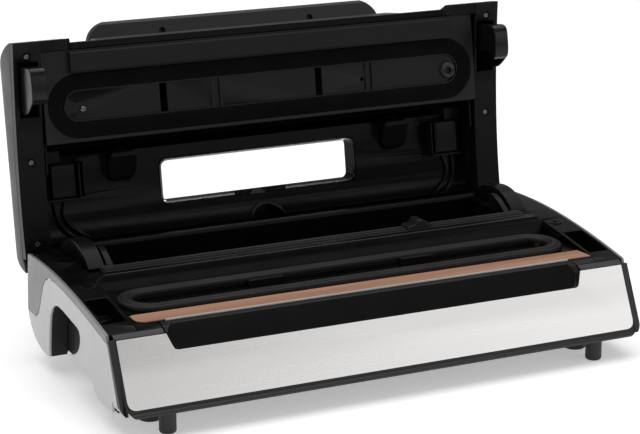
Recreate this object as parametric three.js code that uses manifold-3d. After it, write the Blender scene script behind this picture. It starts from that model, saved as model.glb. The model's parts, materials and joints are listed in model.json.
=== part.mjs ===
// Vacuum sealer: a low base with a sealing bar, vacuum channel and roll trough, and a lid with a window
// that stands open on two rear hinges. Millimetres, +X to the right, +Y to the back, +Z up.
import * as THREE from 'three';
import { mergeVertices } from 'three/addons/utils/BufferGeometryUtils.js';
import Module from 'manifold-3d';

const wasm = await Module();
wasm.setup();

// ---- Driving dimensions ----
const HALF_WIDTH = 200; // half of the base's width over the side covers
const SKIN = 2; // thickness of a side cover
const DECK_HALF = 197.7; // half-width of the deck moulding
const RIM_HALF = 195.7; // half-width of the front bezel's body
const RIM_CORNER = { x: 191, z: 24.7, radius: 9 }; // rounding of the front's lower corners
const PAN_HALF = 186; // half-width of the tub between the hand grips
const CENTRE_HALF = 176.5; // half-width of the deck's middle between the hinge bosses
const SUNK_HALF = 177.4; // half-width of the hollow round the sealing bar and gasket
const TROUGH_HALF = 157; // half-length of the roll trough
const WALL = 2.5; // general wall thickness
const GAP = 0.3; // gap between neighbouring pieces
const DEPTH_CENTRE = 111.4; // distance from the deck's front edge to the middle of the whole depth

const HINGE_Y = 160; // lid hinge axis
const HINGE_Z = 67.7;
const LID_OPEN = THREE.MathUtils.degToRad(98.8); // angle the lid stands open
const PIN_R = 3;
const BORE_R = 3.08;

const LID_HALF = 197.5; // half-width of the lid
const RAIL_INNER = 177.5; // inner edge of the lid's side rails
const LID_TOP = 119.5; // height of the closed lid's flat top
const LID_LIFT = 1; // clearance between the closed rails and the deck
const FRAME_RISE = 8; // height of the black frame's outer wall

const RING_Y = 48.5; // middle of the vacuum channel and of both gaskets
const RING_STRAIGHT = 150; // half-length of the straight sides of the gasket rings
const RING_R = 17.5; // radius of the gasket ring's centre line at its ends
const RING_BAND = 11; // width of the gasket's section
const CHANNEL_R = 11.5; // half-width of the channel inside the ring

const FRONT_TOP = [-4.9, 63.5]; // top edge of the front plate, as y and z
const FRONT_LENGTH = 46.96; // sloping height of the front plate
const FRONT_TILT = THREE.MathUtils.degToRad(64.25); // lean of the front plate from the floor
const PLATE_HALF = 194.7;
const PLATE_THICK = 0.6;
const NOTCH_TOP_HALF = 159.6;
const NOTCH_BOTTOM_HALF = 155.7;
const NOTCH_DROP = 11.66; // depth of the plate's notch along the slope

const HANDLE_HALF = 121.6;
const HANDLE_PIVOT = [38, 122]; // y and z of the handle's axis in the closed lid
const HANDLE_RAISED = THREE.MathUtils.degToRad(13);
const LATCH_PIVOT = [30, 84]; // y and z of the latch shaft in the closed lid
const SHAFT_HALF = 191.6; // half-length of the latch shaft
const HOOK_INNER = 181.2;
const HOOK_OUTER = 192.8;
const CHEEK_INNER = 191.2; // the hook's outer 1.6 mm is a cheek that slopes back to the frame

const BUTTON_XS = [-66, -22, 22, 66];
const BUTTON_Y = 63;
const BUTTON_R = 6.8;

const COLOUR = {
  black: 0x1b1b1d,
  softBlack: 0x111112,
  shell: 0x5c5958,
  darkGrey: 0x3c3a3b,
  silver: 0xd4d3d4,
  insert: 0x98989a,
  steel: 0xcfcac8,
  copper: 0xc49682,
};

// ---- Shape helpers ----
const mirrorPoints = (points) => [...points, ...points.map(([x, z]) => [-x, z]).reverse()];

// Height of the deck's side edge above the floor.
const deckHeight = (y) => 66.5 + 0.18675 * y - 4.67e-4 * y * y - 1.45e-6 * y ** 3;

function span(from, to, count) {
  return Array.from({ length: count + 1 }, (_, i) => from + ((to - from) * i) / count);
}

// A smooth curve through the given points.
const smooth = (points, count) =>
  new THREE.SplineCurve(
    points.map(([a, b]) => new THREE.Vector2(a, b)),
  ).getPoints(count).map((p) => [p.x, p.y]);

function deckLine(from, to, count, offset = 0) {
  return span(from, to, count).map((y) => [y, deckHeight(y) + offset]);
}

function arcPoints(cx, cy, rx, ry, startDeg, endDeg, count) {
  return span(startDeg, endDeg, count).map((deg) => {
    const a = THREE.MathUtils.degToRad(deg);
    return [cx + rx * Math.cos(a), cy + ry * Math.sin(a)];
  });
}

function stadium(half, radius, cy, segments = 10) {
  return [
    ...arcPoints(half, cy, radius, radius, -90, 90, segments),
    ...arcPoints(-half, cy, radius, radius, 90, 270, segments),
  ];
}

function roundedBox(x0, y0, x1, y1, radius, segments = 4) {
  return [
    ...arcPoints(x1 - radius, y1 - radius, radius, radius, 0, 90, segments),
    ...arcPoints(x0 + radius, y1 - radius, radius, radius, 90, 180, segments),
    ...arcPoints(x0 + radius, y0 + radius, radius, radius, 180, 270, segments),
    ...arcPoints(x1 - radius, y0 + radius, radius, radius, 270, 360, segments),
  ];
}

// Closed outline of an open line thickened to its left-hand side.
function ribbon(points, thickness) {
  const shifted = points.map((point, i) => {
    const a = points[Math.max(i - 1, 0)];
    const b = points[Math.min(i + 1, points.length - 1)];
    const length = Math.hypot(b[0] - a[0], b[1] - a[1]);
    return [
      point[0] - ((b[1] - a[1]) / length) * thickness,
      point[1] + ((b[0] - a[0]) / length) * thickness,
    ];
  });
  return [...points, ...shifted.reverse()];
}

function extrude(points, depth) {
  const shape = new THREE.Shape(points.map(([a, b]) => new THREE.Vector2(a, b)));
  return new THREE.ExtrudeGeometry(shape, { depth, bevelEnabled: false, steps: 1 });
}

function toSolid(geometry) {
  const bare = geometry.index ? geometry.toNonIndexed() : geometry.clone();
  bare.deleteAttribute('normal');
  bare.deleteAttribute('uv');
  const merged = mergeVertices(bare, 1e-4);
  return new wasm.Manifold(
    new wasm.Mesh({
      numProp: 3,
      vertProperties: new Float32Array(merged.attributes.position.array),
      triVerts: new Uint32Array(merged.index.array),
    }),
  );
}

function toGeometry(solid) {
  const mesh = solid.getMesh();
  const geometry = new THREE.BufferGeometry();
  geometry.setAttribute('position', new THREE.BufferAttribute(new Float32Array(mesh.vertProperties), 3));
  geometry.setIndex(new THREE.BufferAttribute(new Uint32Array(mesh.triVerts), 1));
  const flat = geometry.toNonIndexed();
  flat.computeVertexNormals();
  return flat;
}

// Prisms along each axis: the outline is given as (y, z), (x, z) or (x, y).
function alongX(points, x0, x1) {
  const matrix = new THREE.Matrix4().set(0, 0, 1, x0, 1, 0, 0, 0, 0, 1, 0, 0, 0, 0, 0, 1);
  return toSolid(extrude(points, x1 - x0).applyMatrix4(matrix));
}

function alongY(points, y0, y1) {
  const matrix = new THREE.Matrix4().set(1, 0, 0, 0, 0, 0, -1, y1, 0, 1, 0, 0, 0, 0, 0, 1);
  return toSolid(extrude(points, y1 - y0).applyMatrix4(matrix));
}

function alongZ(points, z0, z1) {
  return toSolid(extrude(points, z1 - z0).translate(0, 0, z0));
}

function box(x0, x1, y0, y1, z0, z1) {
  return toSolid(
    new THREE.BoxGeometry(x1 - x0, y1 - y0, z1 - z0).translate((x0 + x1) / 2, (y0 + y1) / 2, (z0 + z1) / 2),
  );
}

const join = (...solids) => solids.reduce((a, b) => a.add(b));
const cut = (solid, ...cutters) => cutters.reduce((a, b) => a.subtract(b), solid);

// The same shape on both sides, made from one that takes its inner and outer x.
const bothSides = (make, inner, outer) => [make(inner, outer), make(-outer, -inner)];

const circle = (cx, cy, radius, segments = 20) => arcPoints(
  cx,
  cy,
  radius,
  radius,
  0,
  360,
  segments,
).slice(0, -1);

const rodX = (y, z, radius, x0, x1, segments = 20) => alongX(circle(y, z, radius, segments), x0, x1);
const rodZ = (x, y, radius, z0, z1, segments = 20) => alongZ(circle(x, y, radius, segments), z0, z1);

// Turned piece on the Z axis, from a profile of (radius, z).
function turned(profile, segments = 24) {
  const points = profile.map(([r, z]) => new THREE.Vector2(r, z));
  return new THREE.LatheGeometry(points, segments).rotateX(Math.PI / 2);
}

function piece(name, shape, colour, roughness, metalness = 0, extra = {}) {
  const geometry = shape.isBufferGeometry ? shape : toGeometry(shape);
  const material = new THREE.MeshStandardMaterial({ color: colour, roughness, metalness, ...extra });
  const mesh = new THREE.Mesh(geometry, material);
  mesh.name = name;
  return mesh;
}

const sideName = (side) => (side < 0 ? 'left' : 'right');
const mirrored = (side, make, inner, outer) => (side < 0 ? make(-outer, -inner) : make(inner, outer));

const root = new THREE.Group();
root.name = 'vacuum_sealer';
const base = new THREE.Group();
base.name = 'base';
base.position.y = -DEPTH_CENTRE;
root.add(base);

// ---- Side covers, trims and hand grips ----
const frontLine = (z) => -0.4375 * (deckHeight(0) - z);
const TRIM_DROP = 5; // height of the trim strip along the top edge
const SEAM = [
  [146.8, 35.6],
  [141, 39.3],
  [136.3, 47],
  [132, 56],
  [127.6, 64],
  [122, 69.7],
  [111.5, 73.2],
];
const ARCH = [
  [79.5, 27.7],
  [69.5, 31.2],
  [62, 34.2],
  [57.5, 37.4],
  [54.2, 41.2],
  [52.2, 45.2],
  [51.7, 49.2],
  [53.2, 52.6],
  [57, 54.2],
  [71, 55.7],
  [85.6, 57.4],
  [96, 57.9],
  [104.5, 56],
  [110.5, 51.7],
  [114.2, 46],
  [117, 35],
  [119.4, 20],
  [120, 13.2],
];
const LEG = [
  [124, 12.6],
  [136, 13.4],
  [145, 15.6],
  [152, 19],
  [158.5, 24.5],
  [163, 31],
  [165, 35.6],
];
const COVER_BOTTOM = [
  [frontLine(22), 22],
  [-18.6, 18.6],
  [-15.5, 16.6],
  [-9, 16],
  [19, 16],
  [24, 18.4],
  [28, 23.5],
  [31, 29],
  [34, 29.6],
  [53, 29.6],
  [69.5, 28.6],
];
const COVER_OUTLINE = [
  [frontLine(61), 61],
  ...COVER_BOTTOM,
  ...ARCH,
  ...LEG,
  ...SEAM,
  ...deckLine(100, 5, 6, -TRIM_DROP - GAP),
];
const TRIM_OUTLINE = [
  [frontLine(61 + GAP), 61 + GAP],
  ...deckLine(5, 100, 6, -TRIM_DROP),
  ...SEAM.map(([y, z]) => [y + 0.35, z + GAP]).reverse(),
  [165, 35.6 + GAP],
  [163, 60],
  [160.4, 78.2],
  ...deckLine(158.5, 1, 10),
  [0.2, 66.3],
];
const RETURN_STRIP = [
  [frontLine(61), 61],
  [frontLine(22), 22],
  [-18.6, 18.6],
  [-15.5, 16.6],
  [-13.5, 16.4],
  [frontLine(61) + 3.2, 61],
];
// What is cut off the cover's lower front corner to round it.
const coverCorner = (side) =>
  cut(
    mirrored(side, (a, b) => box(a, b, -40, -9, 10, RIM_CORNER.z), RIM_CORNER.x, HALF_WIDTH + 1),
    alongY(circle(side * RIM_CORNER.x, RIM_CORNER.z, RIM_CORNER.radius, 48), -41, -8),
  );
for (const side of [-1, 1]) {
  const skin = mirrored(side, (a, b) => alongX(COVER_OUTLINE, a, b), HALF_WIDTH - SKIN, HALF_WIDTH);
  const strip = mirrored(side, (a, b) => alongX(RETURN_STRIP, a, b), RIM_HALF + GAP, HALF_WIDTH);
  const cover = cut(join(skin, strip), coverCorner(side));
  base.add(piece(`side_cover_${sideName(side)}`, cover, COLOUR.silver, 0.38, 0.25));
  const trim = mirrored(side, (a, b) => alongX(TRIM_OUTLINE, a, b), HALF_WIDTH - SKIN, HALF_WIDTH);
  base.add(piece(`side_trim_${sideName(side)}`, trim, COLOUR.insert, 0.4, 0.2));
  const liner = mirrored(side, (a, b) => alongX(ribbon(ARCH, 1.6), a, b), PAN_HALF + GAP, DECK_HALF);
  base.add(piece(`grip_liner_${sideName(side)}`, liner, COLOUR.black, 0.5));
}

// ---- Bottom pan ----
const PAN_FLOOR = 16;
const PAN_RIM = 62;
const EAR_SLOT = [181, 194.4]; // the hinge ears' slot through the rear corners
const PAN_OUTLINE = [
  [-14.5, PAN_FLOOR],
  [150, PAN_FLOOR],
  [157, 22],
  [162.4, 36],
  [161.4, 60],
  [159.2, 75.4],
  [156.6, 75.4],
  [158.6, PAN_RIM],
  [5.5, PAN_RIM],
];
const PAN_INSIDE = [
  [-10.5, PAN_FLOOR + WALL],
  [149, PAN_FLOOR + WALL],
  [154.8, 23],
  [159.8, 36.4],
  [158.8, 60],
  [157.6, PAN_RIM + 3],
  [9, PAN_RIM + 3],
];
const FRONT_BLOCK = [
  [-13, 16.6],
  [18.6, 16.6],
  [23.4, 19],
  [27.2, 24],
  [30.4, 30.2],
  [48, 30.2],
  [48, 32.2],
  [-6.2, 32.2],
];
const REAR_BLOCK = [[122, 14], [124, 13.2], [136, 14], [144.6, 16.2], [151.4, 19.6], [157.8, 25], [162, 31.4],
  [163.9, 36], [162.6, 54], [122, 54]];
const INLET_X = 120;
const INLET_Z = 42;
let pan = cut(
  alongX(PAN_OUTLINE, -PAN_HALF, PAN_HALF),
  alongX(PAN_INSIDE, -PAN_HALF + WALL, PAN_HALF - WALL),
);
for (const make of [(a, b) => alongX(FRONT_BLOCK, a, b), (a, b) => alongX(REAR_BLOCK, a, b)]) {
  pan = join(pan, ...bothSides(make, PAN_HALF - 1, DECK_HALF));
}
pan = cut(
  pan,
  ...bothSides((a, b) => box(a, b, -20, 54.2, 32.4, 80), 177, DECK_HALF + 1),
  ...bothSides((a, b) => box(a, b, 146, 170, 54.5, 80), 175.5, DECK_HALF + 1),
  box(INLET_X - 11.3, INLET_X + 11.3, 150, 170, INLET_Z - 8.3, INLET_Z + 8.3),
);
base.add(piece('bottom_pan', pan, COLOUR.black, 0.6));

// ---- Deck ----
const SEAT_Z = 68; // tape seat
const RING_SEAT_Z = 68.4; // gasket seat
const RIDGE_Z = 81.6; // partition between the channel and the trough
const BED_Z = 78.6; // bed of the cutter rail
const TROUGH_Y = 122.5;
const TROUGH_Z = 64;
const TROUGH_RY = 23;
const TROUGH_RZ = 26;
const DECK_FRONT = [
  [0.3, 66.5],
  [7.8, 67.6],
  [8, SEAT_Z],
  [24.8, SEAT_Z],
  [25, RING_SEAT_Z],
  [73.5, RING_SEAT_Z],
  [78, 80.2],
  [79, RIDGE_Z],
  [84.2, RIDGE_Z],
  [84.7, BED_Z],
  [98.5, BED_Z],
];
const DECK_FRONT_UNDER = [[96.8, 76], [80.4, 76], [75.4, 65.4], [9, 65.2], [0.3, 64]];
const TROUGH_SECTION = [
  ...DECK_FRONT,
  [TROUGH_Y - TROUGH_RY, 76.8],
  ...arcPoints(TROUGH_Y, TROUGH_Z, TROUGH_RY, TROUGH_RZ, 180, 360, 14),
  [TROUGH_Y + TROUGH_RY, 82],
  [147, 84],
  [150.4, 84],
  [153, 80.2],
  [155, 79.2],
  [160, deckHeight(160)],
  [160, 76.1],
  [154.6, 76.6],
  [152, 77.6],
  [149.6, 81.2],
  [TROUGH_Y + TROUGH_RY + WALL, 80.4],
  ...arcPoints(TROUGH_Y, TROUGH_Z, TROUGH_RY + WALL, TROUGH_RZ + WALL, 360, 180, 14),
  ...DECK_FRONT_UNDER,
];
const FLAT_SECTION = [
  ...DECK_FRONT,
  ...deckLine(100, 160, 6),
  ...deckLine(160, 98, 6, -WALL),
  ...DECK_FRONT_UNDER,
];
const SIDE_SECTION = [...deckLine(0.3, 160, 12), ...deckLine(160, 0.3, 12, -WALL)];
const TROUGH_END = [
  [TROUGH_Y - TROUGH_RY - WALL, 77],
  ...arcPoints(TROUGH_Y, TROUGH_Z, TROUGH_RY + WALL, TROUGH_RZ + WALL, 180, 360, 14),
  [TROUGH_Y + TROUGH_RY + WALL, 77],
];
const POCKET = { x0: 180, x1: 196, y0: 15.1, y1: 52, step: 62, back: 48.2, floor: 38 };
const POCKET_OUTER = [
  [POCKET.y0 - 1.8, POCKET.floor - 1.8],
  [POCKET.back + 1.5, POCKET.floor - 1.8],
  [POCKET.back + 1.5, 53],
  [POCKET.y1 + 1.7, POCKET.step - 1],
  [POCKET.y1 + 1.7, 74],
  [POCKET.y0 - 1.8, 67.6],
];
const POCKET_INNER = [
  [POCKET.y0, POCKET.floor],
  [POCKET.back, POCKET.floor],
  [POCKET.back, 54],
  [POCKET.y1, POCKET.step],
  [POCKET.y1, 90],
  [POCKET.y0, 90],
];
const CATCH_BAR = [[44.2, 56.4], [POCKET.back + 2, 56.4], [POCKET.y1 + 0.5, 61.8], [44.2, 60.4]];
const RIDGE_END = [[171.4, RIDGE_Z + 0.1], [SUNK_HALF + 0.6, 78], [SUNK_HALF + 0.6, 90], [171.4, 90]];
const BOSS = [
  [152, 77.5],
  [152, 68],
  ...arcPoints(HINGE_Y, HINGE_Z, 5.6, 5.6, 200, 360, 10),
  [165.6, 73],
  [160, 77.5],
];
let deck = join(
  alongX(TROUGH_SECTION, -TROUGH_HALF - 1, TROUGH_HALF + 1),
  ...bothSides((a, b) => alongX(FLAT_SECTION, a, b), TROUGH_HALF, SUNK_HALF + 0.5),
  ...bothSides((a, b) => alongX(TROUGH_END, a, b), TROUGH_HALF, TROUGH_HALF + WALL),
  ...bothSides((a, b) => alongX(SIDE_SECTION, a, b), SUNK_HALF, DECK_HALF),
  ...bothSides((a, b) => alongX(POCKET_OUTER, a, b), POCKET.x0 - 1.8, DECK_HALF),
  ...bothSides((a, b) => alongX(BOSS, a, b), CENTRE_HALF, EAR_SLOT[0] - 0.4),
  alongZ(stadium(RING_STRAIGHT, CHANNEL_R + 2, RING_Y), 52, 67),
);
deck = cut(
  deck,
  alongZ(stadium(RING_STRAIGHT, CHANNEL_R, RING_Y), 54, 80),
  ...bothSides((a, b) => alongX(POCKET_INNER, a, b), POCKET.x0, POCKET.x1),
  ...bothSides((a, b) => box(a, b, 149, 170, 50, 90), EAR_SLOT[0], EAR_SLOT[1]),
  ...bothSides((a, b) => rodX(HINGE_Y, HINGE_Z, PIN_R + 0.2, a, b, 16), CENTRE_HALF - 1, EAR_SLOT[0]),
  box(-160.2, 160.2, -1, 7.9, 60, 70),
  box(-171, 171, 11, 20, 66.6, 70),
  rodZ(186, 73, 1.6, 60, 90, 12),
  alongY(RIDGE_END, 77, 86),
  alongY(RIDGE_END.map(([x, z]) => [-x, z]), 77, 86),
);
deck = join(deck, ...bothSides((a, b) => alongX(CATCH_BAR, a, b), POCKET.x0 - 0.5, CHEEK_INNER - 0.7));
base.add(piece('deck', deck, COLOUR.black, 0.32));

// ---- Front: bezel, plate and ledge ----
const slopeY = Math.cos(FRONT_TILT);
const slopeZ = Math.sin(FRONT_TILT);
// Point of the front, a distance down the slope and a distance out of the plate's face.
const onFront = (down, out) => [
  FRONT_TOP[0] - down * slopeY - out * slopeZ,
  FRONT_TOP[1] - down * slopeZ + out * slopeY,
];
const BEZEL_OUTLINE = [
  [0, 66.3],
  onFront(-0.6, -0.2),
  onFront(-0.3, -0.2),
  onFront(-0.3, -PLATE_THICK - GAP),
  onFront(FRONT_LENGTH + 0.3, -PLATE_THICK - GAP),
  onFront(FRONT_LENGTH + 0.3, -0.3),
  onFront(FRONT_LENGTH + 2.2, -0.3),
  onFront(FRONT_LENGTH + 2.6, 0.9),
  onFront(FRONT_LENGTH + 4.2, 1.4),
  onFront(FRONT_LENGTH + 5.8, 0.6),
  [-24, 15.7],
  [-18.2, 15.7],
  onFront(FRONT_LENGTH, -5),
  onFront(0, -5),
  [0, 63],
];
const BEZEL_FRONT_VIEW = [
  [RIM_HALF, 80],
  [-RIM_HALF, 80],
  ...arcPoints(-RIM_HALF + 9, 24.5, 9, 9, 180, 270, 6),
  ...arcPoints(RIM_HALF - 9, 24.5, 9, 9, 270, 360, 6),
];
// Flange at each end of the bezel, which stands beside the plate and covers the side cover's edge.
const FLANGE_OUTLINE = [
  onFront(-0.9, -0.1),
  onFront(FRONT_LENGTH + 3.2, -0.1),
  onFront(FRONT_LENGTH + 3.2, -2.8),
  onFront(-0.9, -2.8),
];
const FLANGE_VIEW = [
  [HALF_WIDTH, 80],
  [-HALF_WIDTH, 80],
  ...arcPoints(-RIM_CORNER.x, RIM_CORNER.z, RIM_CORNER.radius, RIM_CORNER.radius, 180, 270, 8),
  ...arcPoints(RIM_CORNER.x, RIM_CORNER.z, RIM_CORNER.radius, RIM_CORNER.radius, 270, 360, 8),
];
const flanges = bothSides((a, b) => alongX(FLANGE_OUTLINE, a, b), PLATE_HALF + GAP, HALF_WIDTH).map((flange) =>
  flange.intersect(alongY(FLANGE_VIEW, -40, 10)),
);
const NOTCH_VIEW = mirrorPoints([
  [NOTCH_TOP_HALF + 0.8, 80],
  [NOTCH_TOP_HALF + 0.8, 64],
  [NOTCH_BOTTOM_HALF + 0.6, 50],
]);
const bezel = join(
  cut(
    alongX(BEZEL_OUTLINE, -RIM_HALF, RIM_HALF).intersect(alongY(BEZEL_FRONT_VIEW, -40, 10)),
    alongY(NOTCH_VIEW, -40, 10),
  ),
  ...flanges,
);
base.add(piece('front_bezel', bezel, COLOUR.darkGrey, 0.4));

const PLATE_OUTLINE = [
  [PLATE_HALF, 0],
  ...mirrorPoints([
    [NOTCH_TOP_HALF, 0],
    [NOTCH_BOTTOM_HALF + 0.9, 3.2 - NOTCH_DROP],
    [NOTCH_BOTTOM_HALF - 0.3, 0.9 - NOTCH_DROP],
    [NOTCH_BOTTOM_HALF - 2.4, -NOTCH_DROP],
  ]),
  [-PLATE_HALF, 0],
  ...arcPoints(-PLATE_HALF + 6, -FRONT_LENGTH + 6, 6, 6, 180, 270, 5),
  ...arcPoints(PLATE_HALF - 6, -FRONT_LENGTH + 6, 6, 6, 270, 360, 5),
];
const plate = piece('front_plate', extrude(PLATE_OUTLINE, PLATE_THICK), COLOUR.steel, 0.3, 0.9);
const [plateY, plateZ] = onFront(0, -PLATE_THICK);
plate.position.set(0, plateY, plateZ);
plate.rotation.x = FRONT_TILT;
base.add(plate);

const LEDGE_BLOCK = [
  [7.6, 68.2],
  [0.4, 66.7],
  onFront(0.4, 0),
  onFront(NOTCH_DROP - GAP, 0),
  onFront(NOTCH_DROP - GAP, -4.6),
  [1.5, 62.4],
  [7.6, 62.4],
];
const LEDGE_CUT = [
  [4.6, 68.1],
  [3.4, 67.3],
  onFront(NOTCH_DROP + 1, -0.6),
  [-30, 40],
  [-30, 90],
  [4.6, 90],
];
const LEDGE_VIEW = mirrorPoints([
  [NOTCH_TOP_HALF, 80],
  [NOTCH_TOP_HALF, 64.5],
  [NOTCH_BOTTOM_HALF + 0.5, 56.4],
  [NOTCH_BOTTOM_HALF - 0.8, 54.5],
  [NOTCH_BOTTOM_HALF - 2.9, 53.3],
  [NOTCH_BOTTOM_HALF - 2.9, 40],
]);
const LEDGE_CUT_PLAN = mirrorPoints([
  [152, 20],
  [152, 4.6],
  [NOTCH_TOP_HALF - 0.4, -5.2],
  [NOTCH_TOP_HALF + 3, -14],
]);
const LEDGE_CUT_VIEW = mirrorPoints([
  [NOTCH_TOP_HALF + 3, 80],
  [NOTCH_TOP_HALF - 0.6, 63.2],
  [NOTCH_BOTTOM_HALF - 0.2, 56.2],
  [NOTCH_BOTTOM_HALF - 1.5, 54.3],
  [NOTCH_BOTTOM_HALF - 3.5, 53.1],
  [NOTCH_BOTTOM_HALF - 3.5, 40],
]);
const ledge = cut(
  alongX(LEDGE_BLOCK, -NOTCH_TOP_HALF, NOTCH_TOP_HALF).intersect(alongY(LEDGE_VIEW, -40, 20)),
  alongX(LEDGE_CUT, -170, 170)
    .intersect(alongZ(LEDGE_CUT_PLAN, 30, 100))
    .intersect(alongY(LEDGE_CUT_VIEW, -40, 30)),
);
base.add(piece('front_ledge', ledge, COLOUR.black, 0.22));

// ---- Sealing bar, channel and cutter ----
const TAPE = { left: -174.6, right: 175.4, front: 8.3, back: 24.4, corner: 7.5 };
const TAPE_PLAN = [
  ...arcPoints(TAPE.left + TAPE.corner, TAPE.front + TAPE.corner, TAPE.corner, TAPE.corner, 180, 270, 7),
  [TAPE.right + 1.2, TAPE.front],
  [TAPE.right, TAPE.back],
  [TAPE.left + 1.5, TAPE.back],
  [TAPE.left, TAPE.back - 1.5],
];
base.add(piece('seal_tape', alongZ(TAPE_PLAN, SEAT_Z + GAP, 69.1), COLOUR.copper, 0.45));
base.add(piece('heating_strip', box(-169, 169, 12.5, 18.5, 66.9, 67.7), 0xa9a49e, 0.35, 0.9));

function ring(band, z0, z1) {
  return cut(
    alongZ(stadium(RING_STRAIGHT, RING_R + band / 2, RING_Y, 14), z0, z1),
    alongZ(stadium(RING_STRAIGHT, RING_R - band / 2, RING_Y, 14), z0 - 1, z1 + 1),
  );
}
const lowerGasket = join(
  ring(RING_BAND, RING_SEAT_Z + GAP, 71.1),
  ring(RING_BAND * 0.82, 71, 72.3),
  ring(RING_BAND * 0.45, 72.2, 73),
);
base.add(piece('lower_gasket', lowerGasket, COLOUR.softBlack, 0.8));

const TRAY_R = CHANNEL_R - 0.4;
const tray = join(
  cut(
    alongZ(stadium(RING_STRAIGHT, TRAY_R, RING_Y), 54.4, 65),
    alongZ(stadium(RING_STRAIGHT, TRAY_R - 1.4, RING_Y), 56, 70),
  ),
  ...bothSides((a, b) => box(a, b, RING_Y + TRAY_R - 3, RING_Y + TRAY_R - 0.1, 60, 70.5), 47, 73),
);
base.add(piece('drip_tray', tray, COLOUR.black, 0.35));

const RAIL_Z = 80.5;
const RAIL_SECTION = [[85.1, 78.9], [98.2, 78.9], [98.2, 81.7], [96.8, 81.7], [96.8, RAIL_Z], [94.3, RAIL_Z],
  [94.3, 82.4], [92.9, 82.4], [92.9, RAIL_Z], [90.3, RAIL_Z], [90.3, 82.4], [88.9, 82.4], [88.9, RAIL_Z],
  [86.5, RAIL_Z], [86.5, 81.7], [85.1, 81.7]];
base.add(piece('cutter_rail', alongX(RAIL_SECTION, -168, 168), 0x2d2c2d, 0.35));

const SLIDER_X = 78;
const SLIDER_VIEW = mirrorPoints([[10.4, 0], [10, 1.3], [5.6, 1.9], [4, 3.2], [2.8, 4.9], [1.2, 5.6]]);
const slider = piece('cutter_slider', alongY(SLIDER_VIEW, -5.8, 5.8), 0x3a3a3c, 0.35);
slider.position.set(SLIDER_X, 91.6, 82.8);
base.add(slider);
const blade = piece(
  'cutter_blade',
  alongY([[-7, 0], [7, 0], [4, 1.7], [-4, 1.7]], -0.3, 0.3),
  0xc8cacc,
  0.25,
  0.9,
);
blade.position.set(SLIDER_X, 91.6, 80.9);
base.add(blade);

// ---- Hinge covers and pins ----
const STRAP = [
  [98.5, 80.2],
  ...smooth(
    [
      [98.6, 80.6],
      [103, 84.3],
      [109, 88.2],
      [115, 91],
      [122, 92.8],
      [130, 93.2],
      [138, 92.4],
      [146, 90],
      [154, 85.6],
    ],
    16,
  ),
  [159.5, 80.2],
];
const INNER_STRAP = [
  [98.5, 80.2],
  ...smooth([[98.6, 80.6], [103, 83.4], [109, 86.8], [115, 89.2], [121, 90.6]], 8),
  [122.4, 90],
  [122.4, 80.2],
];
for (const side of [-1, 1]) {
  const strap = join(
    mirrored(side, (a, b) => alongX(STRAP, a, b), 164, 176),
    mirrored(side, (a, b) => alongX(INNER_STRAP, a, b), 157.3, 161.9),
    mirrored(
      side,
      (a, b) => alongX([[98.5, 80.2], [122.4, 80.2], [122.4, 84], [100, 81.6]], a, b),
      161.6,
      164.3,
    ),
  );
  base.add(piece(`hinge_cover_${sideName(side)}`, strap, COLOUR.black, 0.3));
  const pin = mirrored(side, (a, b) => rodX(HINGE_Y, HINGE_Z, PIN_R, a, b, 24), CENTRE_HALF + 0.6, 196.8);
  base.add(piece(`hinge_pin_${sideName(side)}`, pin, 0xb8babd, 0.3, 0.9));
}

// ---- Inside the base ----
base.add(
  piece('vacuum_pump', join(box(-64, -4, 4, 44, 19, 40), rodX(24, 34, 13, -52, -4)), 0x8e9194, 0.45, 0.8),
);
base.add(
  piece('pump_motor', join(rodX(24, 34, 15, -3.6, 56), rodX(24, 34, 5, 50, 62)), 0xa6a8ab, 0.4, 0.85),
);
const board = join(
  box(-160, -80, 6, 78, 20, 21.6),
  box(-152, -120, 14, 44, 21, 44),
  box(-112, -96, 16, 40, 21, 36),
  box(-150, -104, 54, 70, 21, 30),
);
base.add(piece('power_board', board, 0x2f5a3c, 0.6));
const hosePath = new THREE.CatmullRomCurve3([
  new THREE.Vector3(-34, 44.6, 30),
  new THREE.Vector3(-34, 60, 30),
  new THREE.Vector3(-20, 68, 36),
  new THREE.Vector3(10, 62, 41),
  new THREE.Vector3(24, 50, 46),
]);
const hose = new THREE.ExtrudeGeometry(
  new THREE.Shape(circle(0, 0, 3.2, 10).map(([a, b]) => new THREE.Vector2(a, b))),
  { steps: 22, extrudePath: hosePath, bevelEnabled: false },
);
base.add(piece('air_hose', toSolid(hose), 0x2a2a2c, 0.7));
const inlet = cut(
  box(INLET_X - 11, INLET_X + 11, 147, 163.2, INLET_Z - 8, INLET_Z + 8),
  alongY(roundedBox(INLET_X - 8, INLET_Z - 5, INLET_X + 8, INLET_Z + 5, 4.6), 151, 170),
);
base.add(piece('mains_inlet', inlet, COLOUR.softBlack, 0.55));

// ---- Feet ----
const FRONT_FOOT = [[0, 0], [4.9, 0], [5.9, 1.2], [5.9, 15.3], [0, 15.3]];
const DISC_FOOT = [[0, 0], [7.6, 0], [8.6, 1], [8.6, 5.4], [7.4, 6.4], [6, 7], [6, 15.6], [0, 15.6]];
const REAR_FOOT = [[0, 0], [5.4, 0], [6.2, 1], [6.2, 15.6], [0, 15.6]];
const FEET = [
  ['front_foot', FRONT_FOOT, 165, -17.8],
  ['disc_foot', DISC_FOOT, 166.6, 10.4],
  ['rear_foot', REAR_FOOT, 159, 138],
];
for (const [name, profile, x, y] of FEET) {
  for (const side of [-1, 1]) {
    const foot = piece(`${name}_${sideName(side)}`, turned(profile), 0x303032, 0.65);
    foot.position.set(side * x, y, 0);
    base.add(foot);
  }
}

// ---- Lid, drawn closed and turned open about the hinge ----
const hinge = new THREE.Group();
hinge.name = 'lid_hinge';
hinge.position.set(0, HINGE_Y, HINGE_Z);
hinge.rotation.x = -LID_OPEN;
base.add(hinge);
const lid = new THREE.Group();
lid.name = 'lid';
lid.position.set(0, -HINGE_Y, -HINGE_Z);
hinge.add(lid);

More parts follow.
